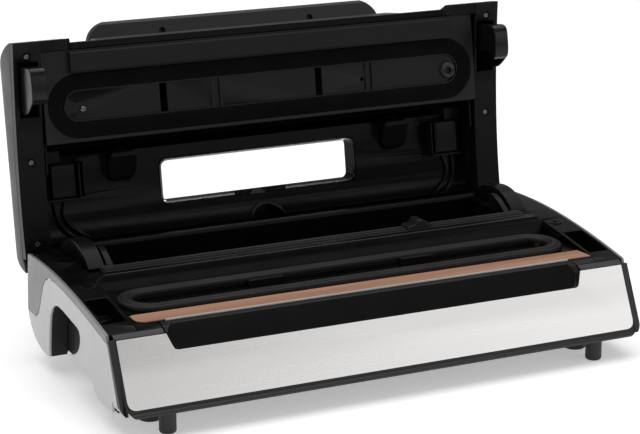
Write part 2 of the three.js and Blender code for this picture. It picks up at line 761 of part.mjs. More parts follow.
// Black frame: side rails that follow the deck, front bar with its notch, and hinge ears.
const RAIL_END = 156;
const RAIL_PROFILE = [
  ...deckLine(-0.5, RAIL_END, 12, LID_LIFT),
  ...deckLine(RAIL_END, -0.5, 12, FRAME_RISE),
];
const FRONT_BAR = [[-0.5, 68.2], [7.8, 69.3], [7.8, 75.8], [-0.5, 74.3]];
const FRONT_LIP = [[2.9, 74], [7.8, 74], [7.8, 79.4], [2.9, 79.4]];
const LIP_HALF = 156;
const EAR = [
  [153.4, 83],
  ...arcPoints(HINGE_Y, HINGE_Z, 6.6, 6.6, 180, 360, 12),
  [166.4, 76],
  [163, 84.5],
  [155, 84.5],
];
const SCREW_YS = { front: 9.8, middle: 86.3, rear: 146 };
const SCREW_X = 187.4;
const HEAD_R = 2.3;
const frameNotch = mirrorPoints([[158.5, 60], [157.5, 68], [151.4, 76.6]]);
let frame = join(
  ...bothSides((a, b) => alongX(RAIL_PROFILE, a, b), RAIL_INNER, LID_HALF),
  cut(
    join(alongX(FRONT_BAR, -LID_HALF, LID_HALF), alongX(FRONT_LIP, -LIP_HALF, LIP_HALF)),
    alongY(frameNotch, -10, 20),
  ),
  ...bothSides((a, b) => alongX(EAR, a, b), EAR_SLOT[0] + 0.4, EAR_SLOT[1] - 0.6),
);
frame = cut(
  frame,
  ...bothSides((a, b) => box(a, b, 14.2, 53.6, 60, 100), 179.4, 193.8),
  ...bothSides((a, b) => rodX(HINGE_Y, HINGE_Z, BORE_R, a, b, 24), 176, 198),
);
for (const side of [-1, 1]) {
  for (const y of Object.values(SCREW_YS)) {
    const face = deckHeight(y) + LID_LIFT;
    frame = cut(
      frame,
      rodZ(side * SCREW_X, y, HEAD_R + GAP, 60, face + 2.4, 16),
      rodZ(side * SCREW_X, y, 1.6, 60, face + 6, 10),
    );
  }
}
lid.add(piece('lid_frame', frame, COLOUR.black, 0.25));

const SCREW = [[0, 0], [1.7, 0], [HEAD_R, 0.5], [HEAD_R, 1.4], [1.2, 1.5], [1.2, 5], [0, 5]];
function screw(name, x, y, z) {
  const crossed = cut(
    toSolid(turned(SCREW, 16)),
    box(-1.4, 1.4, -0.3, 0.3, -1, 0.5),
    box(-0.3, 0.3, -1.4, 1.4, -1, 0.5),
  );
  const mesh = piece(name, crossed, 0xb9b9bb, 0.3, 0.9);
  mesh.position.set(x, y, z);
  lid.add(mesh);
}
for (const side of [-1, 1]) {
  for (const [place, y] of Object.entries(SCREW_YS)) {
    screw(`rail_screw_${sideName(side)}_${place}`, side * SCREW_X, y, deckHeight(y) + LID_LIFT + 0.5);
  }
}

// Outer shell: rounded side profile crossed with a drafted front profile, hollowed from below.
const SHELL_SIDE = [
  [-0.5, 60],
  ...smooth(
    [
      [-0.5, 77.5],
      [1.8, 86],
      [6, 95],
      [11.6, 103.2],
      [19, 110.2],
      [28.4, 115.4],
      [39, 118.5],
      [50, LID_TOP],
    ],
    21,
  ),
  ...smooth([[130, LID_TOP], [142, 117.6], [151.5, 112.2], [159, 103], [164.2, 92], [166.8, 81]], 15),
  [166.8, 60],
];
const SHELL_SIDE_INNER = [
  [2, 50],
  [2, 78],
  [4.4, 85.4],
  [8.4, 94],
  [13.8, 101.7],
  [20.8, 108.2],
  [29.6, 113],
  [39.6, 115.9],
  [50.2, 117],
  [129.8, 117],
  [140.9, 115.1],
  [149.8, 110],
  [156.8, 101.8],
  [162, 90.6],
  [164.4, 83],
  [164.4, 50],
];
const SHELL_FRONT = mirrorPoints([
  [LID_HALF, 50],
  ...smooth(
    [
      [LID_HALF, 84],
      [LID_HALF, 96],
      [196.8, 104],
      [194.8, 111],
      [191.2, 115.9],
      [186, 118.6],
      [179, LID_TOP],
    ],
    14,
  ),
  [179, 130],
]);
const SHELL_FRONT_INNER = mirrorPoints([
  [195, 40],
  [195, 95],
  [194.2, 103.2],
  [192.2, 109.4],
  [189, 113.6],
  [184.4, 116],
  [178.6, 117],
  [178.6, 140],
]);
const SHELL_UNDER = [
  [-10, 40],
  [-10, 74.7],
  [-0.5, 74.7],
  ...deckLine(6, RAIL_END, 12, FRAME_RISE + GAP),
  [157.5, 87],
  [159.5, 85.2],
  [170, 83],
  [170, 40],
];
const SHELF = { y: 3.2, top: 118 }; // the raised middle of the front, which the handle lies on
const shellOuter = alongX(SHELL_SIDE, -LID_HALF - 1, LID_HALF + 1).intersect(alongY(SHELL_FRONT, -10, 175));
const shellInner = alongX(SHELL_SIDE_INNER, -LID_HALF, LID_HALF).intersect(
  alongY(SHELL_FRONT_INNER, -10, 175),
);
const boxed = [
  [SHELF.y, 79.7],
  [48, 79.7],
  [48, SHELF.top],
  [SHELF.y + 2.4, SHELF.top],
  [SHELF.y, SHELF.top - 2.4],
];
const boxedInner = [
  [SHELF.y + WALL, 70],
  [50, 70],
  [50, SHELF.top - WALL],
  [SHELF.y + WALL + 1, SHELF.top - WALL],
  [SHELF.y + WALL, SHELF.top - WALL - 1],
];
const middle = HANDLE_HALF + 1.2;
const WINDOW = { half: 81.5, y0: 96.8, y1: 130.8, radius: 6 };
const PANEL = { half: 92, y0: 51, y1: 75, radius: 8 };
let cover = join(
  cut(shellOuter, box(-LIP_HALF - 1, LIP_HALF + 1, -10, SHELF.y, 70, 125)),
  alongX(boxed, -middle, middle),
);
cover = cut(
  cover,
  shellInner.intersect(
    join(
      ...bothSides((a, b) => box(a, b, -10, 180, 30, 140), LIP_HALF + 1 + WALL, LID_HALF + 5),
      box(-LIP_HALF - 4, LIP_HALF + 4, SHELF.y + WALL, 180, 30, 140),
    ),
  ),
  alongX(boxedInner, -middle + WALL, middle - WALL),
  alongX(SHELL_UNDER, -LID_HALF - 5, LID_HALF + 5),
  box(-LIP_HALF - GAP, LIP_HALF + GAP, -10, 14.5, 60, 79.7),
  box(-HANDLE_HALF - 0.8, HANDLE_HALF + 0.8, -10, 44.5, SHELF.top, 130),
  alongZ(roundedBox(-WINDOW.half, WINDOW.y0, WINDOW.half, WINDOW.y1, WINDOW.radius), 100, 130),
  alongZ(
    roundedBox(-PANEL.half - GAP, PANEL.y0 - GAP, PANEL.half + GAP, PANEL.y1 + GAP, PANEL.radius),
    LID_TOP - 1.1,
    130,
  ),
  ...BUTTON_XS.map((x) => rodZ(x, BUTTON_Y, BUTTON_R + 0.4, 100, 130)),
);
lid.add(piece('lid_cover', cover, COLOUR.shell, 0.45));

// Control panel and buttons on the lid's top.
const panel = cut(
  alongZ(
    roundedBox(-PANEL.half, PANEL.y0, PANEL.half, PANEL.y1, PANEL.radius),
    LID_TOP - 0.8,
    LID_TOP + 0.3,
  ),
  ...BUTTON_XS.map((x) => rodZ(x, BUTTON_Y, BUTTON_R + 0.4, 100, 130)),
);
lid.add(piece('control_panel', panel, COLOUR.black, 0.2));
const BUTTON = [
  [0, -4.4],
  [8.4, -4.4],
  [8.4, -2.8],
  [BUTTON_R, -2.8],
  [BUTTON_R, 0.9],
  [6, 1.5],
  [3, 1.3],
  [0, 1.2],
];
BUTTON_XS.forEach((x, i) => {
  const button = piece(`button_${i + 1}`, turned(BUTTON), 0xc9cacc, 0.35, 0.4);
  button.position.set(x, BUTTON_Y, LID_TOP);
  lid.add(button);
});
const switches = BUTTON_XS.map((x) => rodZ(x, BUTTON_Y, 2.6, 109, 113.6, 12));
lid.add(piece('control_board', join(box(-84, 84, 53, 71, 107.6, 109.2), ...switches), 0x2f5a3c, 0.6));

// Window: a clear tub in the shell's opening and the frame round it on the outside.
const inset = (r, by) => roundedBox(-WINDOW.half + by, WINDOW.y0 + by, WINDOW.half - by, WINDOW.y1 - by, r);
const pane = cut(alongZ(inset(5.7, 0.3), 103.4, 118.9), alongZ(inset(4.2, 1.8), 100, 116.6));
lid.add(piece('window_pane', pane, 0xeef2f4, 0.08, 0, { transparent: true, opacity: 0.3 }));
const trim = cut(
  alongZ(inset(9.5, -4), LID_TOP + GAP, LID_TOP + 1.7),
  alongZ(inset(6, 0), 100, 130),
);
lid.add(piece('window_trim', trim, COLOUR.black, 0.25));

// Gasket plate with its foam ring, rubber strip, port and screw.
const PLATE_Z = 74;
const LINER_HALF = CENTRE_HALF - 0.5;
const PLATE_SLOTS = [-84.2, 41.9]; // middles of the two slots across the plate
const PLATE_RIBS = [-45.6, -39, 82.2, 87.4];
const PLATE_SCREW = [-146.8, 51.2];
const AIR_PORT = [153, 49.8];
let gasketPlate = cut(
  alongX(
    [[8.1, PLATE_Z], [74.3, PLATE_Z], [74.3, PLATE_Z + 3], [8.1, PLATE_Z + 3]],
    -LINER_HALF,
    LINER_HALF,
  ),
  ring(RING_BAND + 1, PLATE_Z - 1, PLATE_Z + 1.6),
  alongZ(stadium(RING_STRAIGHT, RING_R - RING_BAND / 2 - 1.4, RING_Y), PLATE_Z - 1, PLATE_Z + 1.3),
  ...PLATE_SLOTS.map((x) => box(x - 2.8, x + 2.8, 38, 59, PLATE_Z, PLATE_Z + 4)),
  rodZ(...PLATE_SCREW, 1.6, 70, 80, 10),
  rodZ(78.4, 50.2, 1.5, 70, 80, 12),
);
gasketPlate = join(
  gasketPlate,
  ...PLATE_RIBS.map((x) => box(x - 1, x + 1, 37.9, 59.1, PLATE_Z, PLATE_Z + 2)),
);
lid.add(piece('gasket_plate', gasketPlate, COLOUR.black, 0.3));
lid.add(piece('upper_gasket', ring(RING_BAND, PLATE_Z - 0.8, PLATE_Z + 1.3), 0x151516, 0.95));
const strip = alongX(
  [[9.5, 73.7], [9.5, 70.4], [11, 69.6], [23, 69.6], [24.5, 70.4], [24.5, 73.7]],
  -155.4,
  155.4,
);
lid.add(piece('pressure_strip', strip, 0x1e1e20, 0.7));
const PORT = [[2.6, 0], [5.8, 0], [6.4, 0.6], [6.4, 1.6], [2.6, 1.6], [2.6, 0]];
const port = piece('air_port', toSolid(turned(PORT, 24)), 0x2b2b2d, 0.3);
port.position.set(...AIR_PORT, PLATE_Z - 0.6);
lid.add(port);
screw('plate_screw', ...PLATE_SCREW, PLATE_Z - 0.5);

// Roll cavity lining: curved ceiling, end walls, pads, ribs and bosses.
const LINER_LINE = [
  [75.4, 78.4],
  [75.4, 91],
  [77, 96.4],
  [81, 100.6],
  [87, 103],
  ...smooth(
    [[96, 104], [112, 103.8], [124, 102.6], [133, 100.4], [140, 97.2], [144.6, 93.8], [147.4, 90.6]],
    16,
  ),
];
const BUMPER = [
  [84.5, 103.5],
  [84.5, 92.5],
  [87, 90.4],
  [90, 90.6],
  [106, 97],
  [109, 99.6],
  [109.6, 104.4],
  [96, 105],
];
const LINER_END = [
  [75.4, 83],
  [78, 82.4],
  [96, 82.4],
  [101.6, 86.6],
  [107.6, 90.4],
  [114.4, 93.4],
  [121.6, 95],
  [130, 95.4],
  [150, 95.2],
  [150.4, 99.4],
  [128, 104],
  [96, 105.4],
  [82, 102.4],
  [75.4, 93],
];
const PAD = [[91, 104.8], [91, 96.4], [92.4, 95], [115.6, 95], [117, 96.4], [117, 104]];
const PAD_RIB = [[91, 104], [91, 93], [92, 91.6], [116, 91.6], [117, 93], [117, 103]];
const TAB = [[80.5, 104], [82, 98.6], [91.5, 98.6], [91.5, 104]];
const CROSS_RIB = [[117.2, 103.6], [117.2, 96], [119, 96], [119, 103.6]];
// Two curved ribs beside each pad, as x and y, that stand a little proud of the lining.
const CURVED_RIBS = [
  [[158.3, 118.5], [160.6, 125], [160.8, 131], [157.6, 137], [153, 141.6], [146, 146], [140, 149]],
  [[167.3, 118.5], [167, 127], [165.6, 134], [162.6, 139.4], [158.6, 143.6], [153, 147], [148, 149.4]],
];
const bandOf = (proud) => alongX(
  ribbon(LINER_LINE.map(([y, z]) => [y, z - proud]), proud + 1.4),
  -LINER_HALF,
  LINER_HALF,
);
const curvedRibs = [-1, 1].flatMap((side) =>
  CURVED_RIBS.map((path) => {
    const line = smooth(path, 10).map(([x, y]) => [side * x, y]);
    return alongZ(ribbon(side < 0 ? line.reverse() : line, 2), 84, 110).intersect(bandOf(3.4));
  }),
);
const NOTCH = { y: 154.4, radius: 14.8 }; // finger notch in the lining's rear edge
let liner = join(
  alongX(ribbon(LINER_LINE, 1.8), -LINER_HALF, LINER_HALF),
  ...bothSides((a, b) => alongX(LINER_END, a, b), LINER_HALF - 1.6, LINER_HALF),
  ...bothSides((a, b) => alongX(PAD, a, b), 150.6, 168.4),
  ...bothSides((a, b) => alongX(TAB, a, b), 160, 174),
  ...bothSides((a, b) => alongX(PAD_RIB, a, b), 147.6, 148.7),
  ...bothSides((a, b) => alongX(PAD_RIB, a, b), 144.2, 145.2),
  ...bothSides((a, b) => alongX(CROSS_RIB, a, b), 147, 173.6),
  ...curvedRibs,
  ...bothSides(
    (a, b) => alongX(BUMPER, a, b).intersect(alongZ(roundedBox(a, 84, b, 110, 9, 7), 80, 110)),
    102.6,
    124,
  ),
);
liner = cut(
  liner,
  alongZ(inset(6.4, -0.4), 90, 120),
  rodZ(0, NOTCH.y, NOTCH.radius, 80, 120, 32),
);
const notchRim = bandOf(1).intersect(
  cut(rodZ(0, NOTCH.y, NOTCH.radius + 2.2, 80, 120, 32), rodZ(0, NOTCH.y, NOTCH.radius - 0.1, 80, 120, 32)),
);
liner = join(liner, notchRim);
lid.add(piece('cavity_liner', liner, COLOUR.black, 0.28));

// Latch hooks on a common shaft behind the front bar.
const [latchY, latchZ] = LATCH_PIVOT;
const HOOK_FRONT = [
  [23, 84],
  [19.4, 80],
  [16.9, 74],
  [16.8, 58],
  ...smooth(
    [[16.9, 54], [17.6, 50.6], [19.6, 48.2], [23, 47], [30, 46.6], [37, 47], [41.4, 48.6], [43.3, 51.4]],
    14,
  ),
];
const HOOK_TOP = arcPoints(latchY, latchZ, 7.6, 7.6, 0, 180, 10).slice(1, -1);
const HOOK = [
  ...HOOK_FRONT,
  [43, 53.6],
  [41.4, 54.6],
  [39, 54.4],
  [37.6, 57],
  [37.2, 64],
  [37.6, 84],
  ...HOOK_TOP,
];
const CHEEK = [
  ...HOOK_FRONT,
  [45.2, 54],
  [47.6, 58],
  [49.8, 62.4],
  [50.4, 66],
  [50.4, 72],
  [45, 80],
  [37.6, 84],
  ...HOOK_TOP,
];
for (const side of [-1, 1]) {
  const hook = cut(
    join(
      mirrored(side, (a, b) => alongX(HOOK, a, b), HOOK_INNER, CHEEK_INNER + 0.2),
      mirrored(side, (a, b) => alongX(CHEEK, a, b), CHEEK_INNER, HOOK_OUTER),
    ),
    rodX(latchY, latchZ, 2.7, -SHAFT_HALF - 0.3, SHAFT_HALF + 0.3, 16),
  );
  lid.add(piece(`hook_${sideName(side)}`, hook, COLOUR.darkGrey, 0.35));
}
lid.add(piece('latch_shaft', rodX(latchY, latchZ, 2.5, -SHAFT_HALF, SHAFT_HALF, 16), 0xb4b6b9, 0.3, 0.9));

// Handle, drawn raised as it stands when the latch is free; turning it down moves the latch.
const [pivotY, pivotZ] = HANDLE_PIVOT;
function raised([y, z]) {
  const c = Math.cos(HANDLE_RAISED);
  const k = Math.sin(HANDLE_RAISED);
  return [pivotY + (y - pivotY) * c + (z - pivotZ) * k, pivotZ - (y - pivotY) * k + (z - pivotZ) * c];
}
const HANDLE_SECTION = [
  ...arcPoints(pivotY, pivotZ, 3.6, 3.6, -90, 77, 8),
  ...[
    [10, 125.7],
    [-2, 125.6],
    [-6.4, 124.9],
    [-8.2, 123.4],
    [-8.8, 121.4],
    [-8, 119.4],
    [-6, 118.6],
    [6, 118.6],
  ].map(raised),
];
const HANDLE_PLAN = mirrorPoints([
  [HANDLE_HALF, 60],
  ...arcPoints(HANDLE_HALF - 22, 9, 22, 18, 0, -90, 12),
]);
const HANDLE_HOLE = { x: 61.7, y: 3, radius: 2.6 };
const holes = [-1, 1].map((side) => rodZ(
  side * HANDLE_HOLE.x,
  HANDLE_HOLE.y,
  HANDLE_HOLE.radius,
  118,
  130.2,
  14,
));
const handle = cut(
  alongX(HANDLE_SECTION, -HANDLE_HALF, HANDLE_HALF).intersect(alongZ(HANDLE_PLAN, 80, 150)),
  ...holes,
);
lid.add(piece('handle', handle, 0x454345, 0.4));

export default root;
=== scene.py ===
import json
import math

import bmesh
import bpy
from mathutils import Matrix, Vector
from mathutils.bvhtree import BVHTree


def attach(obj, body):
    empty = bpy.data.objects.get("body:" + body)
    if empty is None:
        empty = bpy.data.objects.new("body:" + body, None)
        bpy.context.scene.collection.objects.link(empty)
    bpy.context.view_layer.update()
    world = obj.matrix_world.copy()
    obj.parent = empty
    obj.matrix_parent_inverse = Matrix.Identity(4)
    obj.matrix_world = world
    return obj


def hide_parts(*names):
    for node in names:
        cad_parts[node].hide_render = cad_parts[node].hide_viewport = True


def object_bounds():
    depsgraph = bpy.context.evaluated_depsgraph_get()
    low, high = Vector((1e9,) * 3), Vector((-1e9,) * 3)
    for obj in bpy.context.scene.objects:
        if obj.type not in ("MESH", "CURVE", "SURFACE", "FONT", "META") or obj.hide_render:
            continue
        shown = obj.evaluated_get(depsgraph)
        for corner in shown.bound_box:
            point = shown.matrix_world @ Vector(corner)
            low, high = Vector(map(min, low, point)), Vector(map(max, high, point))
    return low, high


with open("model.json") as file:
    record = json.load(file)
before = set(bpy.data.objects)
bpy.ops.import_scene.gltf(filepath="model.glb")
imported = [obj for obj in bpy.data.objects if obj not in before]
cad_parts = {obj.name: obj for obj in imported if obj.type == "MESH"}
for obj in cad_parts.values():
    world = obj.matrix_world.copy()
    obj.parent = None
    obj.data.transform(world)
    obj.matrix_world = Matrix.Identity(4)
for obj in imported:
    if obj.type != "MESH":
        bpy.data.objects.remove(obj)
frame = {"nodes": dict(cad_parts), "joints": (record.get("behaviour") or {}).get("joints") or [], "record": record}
start_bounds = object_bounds()
scene = bpy.context.scene
MM = 0.001

# ---- Places worked out from the frame ----
joints = {joint["name"]: joint for joint in frame["joints"]}
hinge = Vector(joints["lid_hinge"]["pos_m"])
open_angle = math.radians(joints["lid_hinge"]["range_deg"][1])
# TURN_OPEN carries a place in the closed lid to where it is with the lid open, which is the pose at rest.
TURN_OPEN = Matrix.Translation(hinge) @ Matrix.Rotation(-open_angle, 4, "X") @ Matrix.Translation(-hinge)
HINGE_DEPTH = 160 * MM  # the hinge's distance behind the deck's front edge
DECK_FRONT = hinge.y - HINGE_DEPTH


# ---- Materials ----
def node(tree, kind, **values):
    made = tree.nodes.new(kind)
    for key, value in values.items():
        if hasattr(made, key):
            setattr(made, key, value)
        else:
            made.inputs[key.replace("_", " ")].default_value = value
    return made


def remapped(tree, source, low, high, to_low=0.0, to_high=1.0):
    """Maps the range of a value from low to high onto another range."""
    made = tree.nodes.new("ShaderNodeMapRange")
    made.inputs["From Min"].default_value = low
    made.inputs["From Max"].default_value = high
    made.inputs["To Min"].default_value = to_low
    made.inputs["To Max"].default_value = to_high
    tree.links.new(source, made.inputs["Value"])
    return made.outputs[0]


def noise(tree, place, **values):
    made = node(tree, "ShaderNodeTexNoise", **values)
    tree.links.new(place, made.inputs["Vector"])
    return made.outputs["Fac"]


NOISE_LOW, NOISE_HIGH = 0.3, 0.7  # the part of a noise texture's range that is used
EDGE_LOW, EDGE_HIGH = 0.52, 0.62  # pointiness where an edge starts to turn lighter, as worn edge and painted highlight, and where it is fully lighter
COAT_ROUGHNESS = 0.12
SMOOTHEST = 0.03


def surface(
    name,
    colour,
    rough,
    metal=0.0,
    specular=0.5,
    vary=0.08,
    vary_scale=9.0,
    rough_vary=0.06,
    grain=0.15,
    grain_scale=2200.0,
    grain_depth=0.00003,
    stretch=(1, 1, 1),
    wear_and_glint=0.25,
    tint=None,
    coat=0.0,
):
    """A moulded, painted or rolled surface: uneven colour and roughness, fine grain and lighter edges, partly worn
    and partly a painted highlight.

    vary is the share by which the colour wanders, towards tint where one is given. grain is the strength of
    the relief and grain_depth its depth in metres. A stretch below 1 draws the textures out along that axis.
    The argument after stretch is how far the edges turn to the lighter colour, which paints worn edges and edge
    highlights together.
    """
    material = bpy.data.materials.new(name)
    material.use_nodes = True
    tree = material.node_tree
    link = tree.links.new
    shader = tree.nodes["Principled BSDF"]
    shader.inputs["Metallic"].default_value = metal
    shader.inputs["Specular IOR Level"].default_value = specular
    shader.inputs["Coat Weight"].default_value = coat
    shader.inputs["Coat Roughness"].default_value = COAT_ROUGHNESS
    mapping = node(tree, "ShaderNodeMapping", Scale=stretch)
    link(node(tree, "ShaderNodeTexCoord").outputs["Object"], mapping.inputs["Vector"])
    place = mapping.outputs[0]

    mottle = node(tree, "ShaderNodeMix", data_type="RGBA")
    clouds = noise(tree, place, Scale=vary_scale, Detail=5.0, Roughness=0.6)
    mottle.inputs["A"].default_value = (*[c * (1 - vary) for c in colour], 1)
    mottle.inputs["B"].default_value = (*(tint or [c * (1 + vary) for c in colour]), 1)
    link(remapped(tree, clouds, NOISE_LOW, NOISE_HIGH), mottle.inputs["Factor"])

    # Edges lighten where pointiness is high: partly worn edges, partly a painted highlight along every edge.
    scuffed_and_glint = node(tree, "ShaderNodeMix", data_type="RGBA")
    edges = node(tree, "ShaderNodeNewGeometry").outputs["Pointiness"]
    scuffed_and_glint.inputs["B"].default_value = (*[min(1, c * 1.6 + 0.02) for c in colour], 1)
    link(remapped(tree, edges, EDGE_LOW, EDGE_HIGH, 0, wear_and_glint), scuffed_and_glint.inputs["Factor"])
    link(mottle.outputs["Result"], scuffed_and_glint.inputs["A"])
    link(scuffed_and_glint.outputs["Result"], shader.inputs["Base Color"])

    patches = noise(tree, place, Scale=vary_scale * 4, Detail=3.0)
    smoothest = max(SMOOTHEST, rough - rough_vary)
    polish = remapped(tree, patches, NOISE_LOW, NOISE_HIGH, smoothest, rough + rough_vary)
    link(polish, shader.inputs["Roughness"])

    bump = node(tree, "ShaderNodeBump", Strength=grain, Distance=grain_depth)
    link(noise(tree, place, Scale=grain_scale, Detail=2.0), bump.inputs["Height"])
    link(bump.outputs[0], shader.inputs["Normal"])
    return material


black = surface(
    "black_gloss_plastic", (0.003, 0.0029, 0.0031), 0.27, specular=0.085, rough_vary=0.04, grain=0.08,
    wear_and_glint=0.5,
)
# Black plastic made lighter and bluish: a painted bluish sheen on the gasket plate's floor.
plate_black_sheen = surface(
    "black_plate_plastic_sheen", (0.0062, 0.0062, 0.0078), 0.44, specular=0.16, grain=0.12, wear_and_glint=0.5,
)
deck_black = surface(
    "black_satin_plastic", (0.0026, 0.0025, 0.0026), 0.27, specular=0.09, grain=0.14, wear_and_glint=0.6,
)
ledge_black = surface(
    "black_ledge_plastic", (0.0045, 0.0042, 0.0045), 0.2, specular=0.14, rough_vary=0.03, grain=0.06,
)
pan_black = surface(
    "black_grained_plastic", (0.012, 0.0118, 0.012), 0.55, specular=0.25, grain=0.5, grain_scale=1500,
)
silver = surface(
    "silver_satin_paint", (0.46, 0.455, 0.458), 0.36, metal=0.12, vary=0.03, grain=0.25, grain_scale=3200,
    wear_and_glint=0.1,
)
trim_grey = surface(
    "grey_satin_paint", (0.185, 0.184, 0.186), 0.4, metal=0.1, vary=0.04, grain=0.3, grain_scale=2600,
    wear_and_glint=0.15,
)
shell_grey = surface(
    "warm_grey_plastic", (0.026, 0.0245, 0.0245), 0.42, vary=0.06, grain=0.35, grain_scale=2400,
    specular=0.3,
)
dark_grey = surface("dark_grey_plastic", (0.021, 0.02, 0.0205), 0.4, vary=0.08, grain=0.3, specular=0.3)
bezel_black = surface("bezel_plastic", (0.019, 0.018, 0.0185), 0.4, grain=0.3, specular=0.3)
hook_black = surface("hook_plastic", (0.0042, 0.004, 0.0042), 0.24, grain=0.08, specular=0.2, wear_and_glint=0.6)
slider_black = surface("slider_plastic", (0.009, 0.0085, 0.0088), 0.22, grain=0.1, specular=0.3, wear_and_glint=0.5)
# Grey well above the deck's black, for the painted highlight along the ridge's front edge.
ridge_highlight_grey = surface("ridge_highlight_bead_plastic", (0.02, 0.019, 0.019), 0.3, grain=0.1, specular=0.4, wear_and_glint=0.6)
rail_black = surface(
    "rail_plastic", (0.0085, 0.008, 0.0085), 0.34, specular=0.22, stretch=(0.2, 1, 1), wear_and_glint=0.5,
)
# Black rubber given a warm brown tint: a painted reflection of the copper tape on the gasket.
gasket_black_copper_reflection = surface(
    "gasket_rubber", (0.0075, 0.0056, 0.0054), 0.56, vary=0.2, grain=0.6, grain_scale=900, specular=0.2,
    wear_and_glint=0.1,
)
foam_black = surface(
    "gasket_foam", (0.0032, 0.0032, 0.0034), 0.9, vary=0.3, vary_scale=60, grain=1.0, grain_scale=1100,
    grain_depth=0.0003, specular=0.06,
)
strip_black = surface(
    "strip_rubber", (0.006, 0.006, 0.0064), 0.55, grain=0.5, grain_scale=1200, specular=0.16,
)
foot_rubber = surface(
    "foot_rubber", (0.02, 0.02, 0.0205), 0.5, vary=0.12, grain=0.5, grain_scale=1000, specular=0.3,
)
screw_metal = surface(
    "screw_metal", (0.13, 0.13, 0.135), 0.3, metal=1.0, vary=0.1, vary_scale=400, grain=0.3, wear_and_glint=0.4,
)
pin_metal = surface(
    "pin_metal", (0.5, 0.5, 0.51), 0.28, metal=1.0, stretch=(0.05, 1, 1), grain=0.5, wear_and_glint=0.4,
)
pump_metal = surface(
    "cast_aluminium", (0.38, 0.39, 0.4), 0.5, metal=0.9, grain=0.8, grain_scale=500, grain_depth=0.0002,
)
motor_metal = surface("motor_can", (0.45, 0.45, 0.46), 0.3, metal=1.0, stretch=(0.05, 1, 1), grain=0.4)
board_green = surface(
    "circuit_board_green", (0.02, 0.1, 0.04), 0.4, vary=0.2, vary_scale=80, grain=0.3, grain_scale=600,
)
hose_black = surface("hose_rubber", (0.02, 0.02, 0.02), 0.6, grain=0.5, grain_scale=900)
button_grey = surface("button_plastic", (0.55, 0.55, 0.56), 0.35, metal=0.2, vary=0.04, grain=0.2, wear_and_glint=0.1)
# Pale colour for the painted highlight along the tape's rounded front edge.
tape_highlight_paint = surface("tape_edge_highlight", (0.5, 0.45, 0.42), 0.5, grain=0.4, grain_scale=1400)
nichrome = surface("heater_strip_metal", (0.4, 0.38, 0.36), 0.3, metal=1.0, stretch=(0.04, 1, 1), grain=0.5)


def brushed_plate():
    """Stainless sheet brushed along X: long fine scratches in its relief and roughness."""
    material = surface(
        "brushed_stainless", (0.7, 0.685, 0.675), 0.28, metal=0.92, vary=0.02, vary_scale=60,
        rough_vary=0.015, grain=0.1, grain_scale=2600, grain_depth=0.00002, stretch=(0.012, 1, 1),
        wear_and_glint=0.3, tint=(0.72, 0.708, 0.7),
    )
    material.node_tree.nodes["Principled BSDF"].inputs["Anisotropic"].default_value = 0.5
    return material


def copper_tape():
    """Coated glass-cloth tape: streaks along its length and a fine woven relief."""
    return surface(
        "copper_tape", (0.3, 0.155, 0.1), 0.45, vary=0.3, vary_scale=90, rough_vary=0.1, grain=0.5,
        grain_scale=1500, grain_depth=0.00008, stretch=(0.03, 1, 1), tint=(0.46, 0.26, 0.18),
        specular=0.1, wear_and_glint=0.3,
    )


def clear_window():
    """Clear plastic pane, which bends light only a little."""
    material = surface(
        "clear_window", (0.95, 0.965, 0.97), 0.04, vary=0.02, rough_vary=0.005, grain=0.004, wear_and_glint=0,
    )
    shader = material.node_tree.nodes["Principled BSDF"]
    shader.inputs["Transmission Weight"].default_value = 1.0
    shader.inputs["IOR"].default_value = 1.2
    return material


steel = brushed_plate()
tape = copper_tape()
clear = clear_window()


# ---- Shape helpers ----
def add_object(name, mesh, material, body, replaced=()):
    """Adds a visible piece that rides a body, and hides the CAD nodes that it stands for."""
    made = bpy.data.objects.new(name, mesh)
    scene.collection.objects.link(made)
    made.data.materials.clear()
    made.data.materials.append(material)
    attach(made, body)
    if replaced:
        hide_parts(*replaced)
    return made


def settle(made, sharp=32):
    """Applies the modifiers and shades smooth, except across edges that turn more than the given angle."""
    graph = bpy.context.evaluated_depsgraph_get()
    mesh = bpy.data.meshes.new_from_object(made.evaluated_get(graph))
    made.modifiers.clear()
    made.data = mesh
    for polygon in mesh.polygons:
        polygon.use_smooth = True
    mesh.set_sharp_from_angle(angle=math.radians(sharp))
    return made


body_of = {name: body for body, names in frame["record"]["behaviour"]["bodies"].items() for name in names}


WELD_DISTANCE = 2e-6
FLAT_ANGLE = math.radians(0.6)  # faces that differ by less are one flat face


def refine(name, material, width=0.4, segments=2, angle=28, sharp=20):
    """A finer copy of a CAD piece, shaded smooth except across edges that turn more than sharp degrees.

    Edges that turn more than angle degrees are rounded by width mm. A width of 0 leaves the shape as it is.
    """
    mesh = frame["nodes"][name].data.copy()
    shape = bmesh.new()
    shape.from_mesh(mesh)
    bmesh.ops.remove_doubles(shape, verts=shape.verts, dist=WELD_DISTANCE)
    if width:
        bmesh.ops.dissolve_limit(shape, angle_limit=FLAT_ANGLE, verts=shape.verts, edges=shape.edges)
    shape.to_mesh(mesh)
    shape.free()
    made = add_object(name + "_fine", mesh, material, body_of[name], [name])
    if width:
        bevel = made.modifiers.new("edges", "BEVEL")
        bevel.width = width * MM
        bevel.segments = segments
        bevel.limit_method = "ANGLE"
        bevel.angle_limit = math.radians(angle)
        bevel.use_clamp_overlap = False
    return settle(made, sharp)


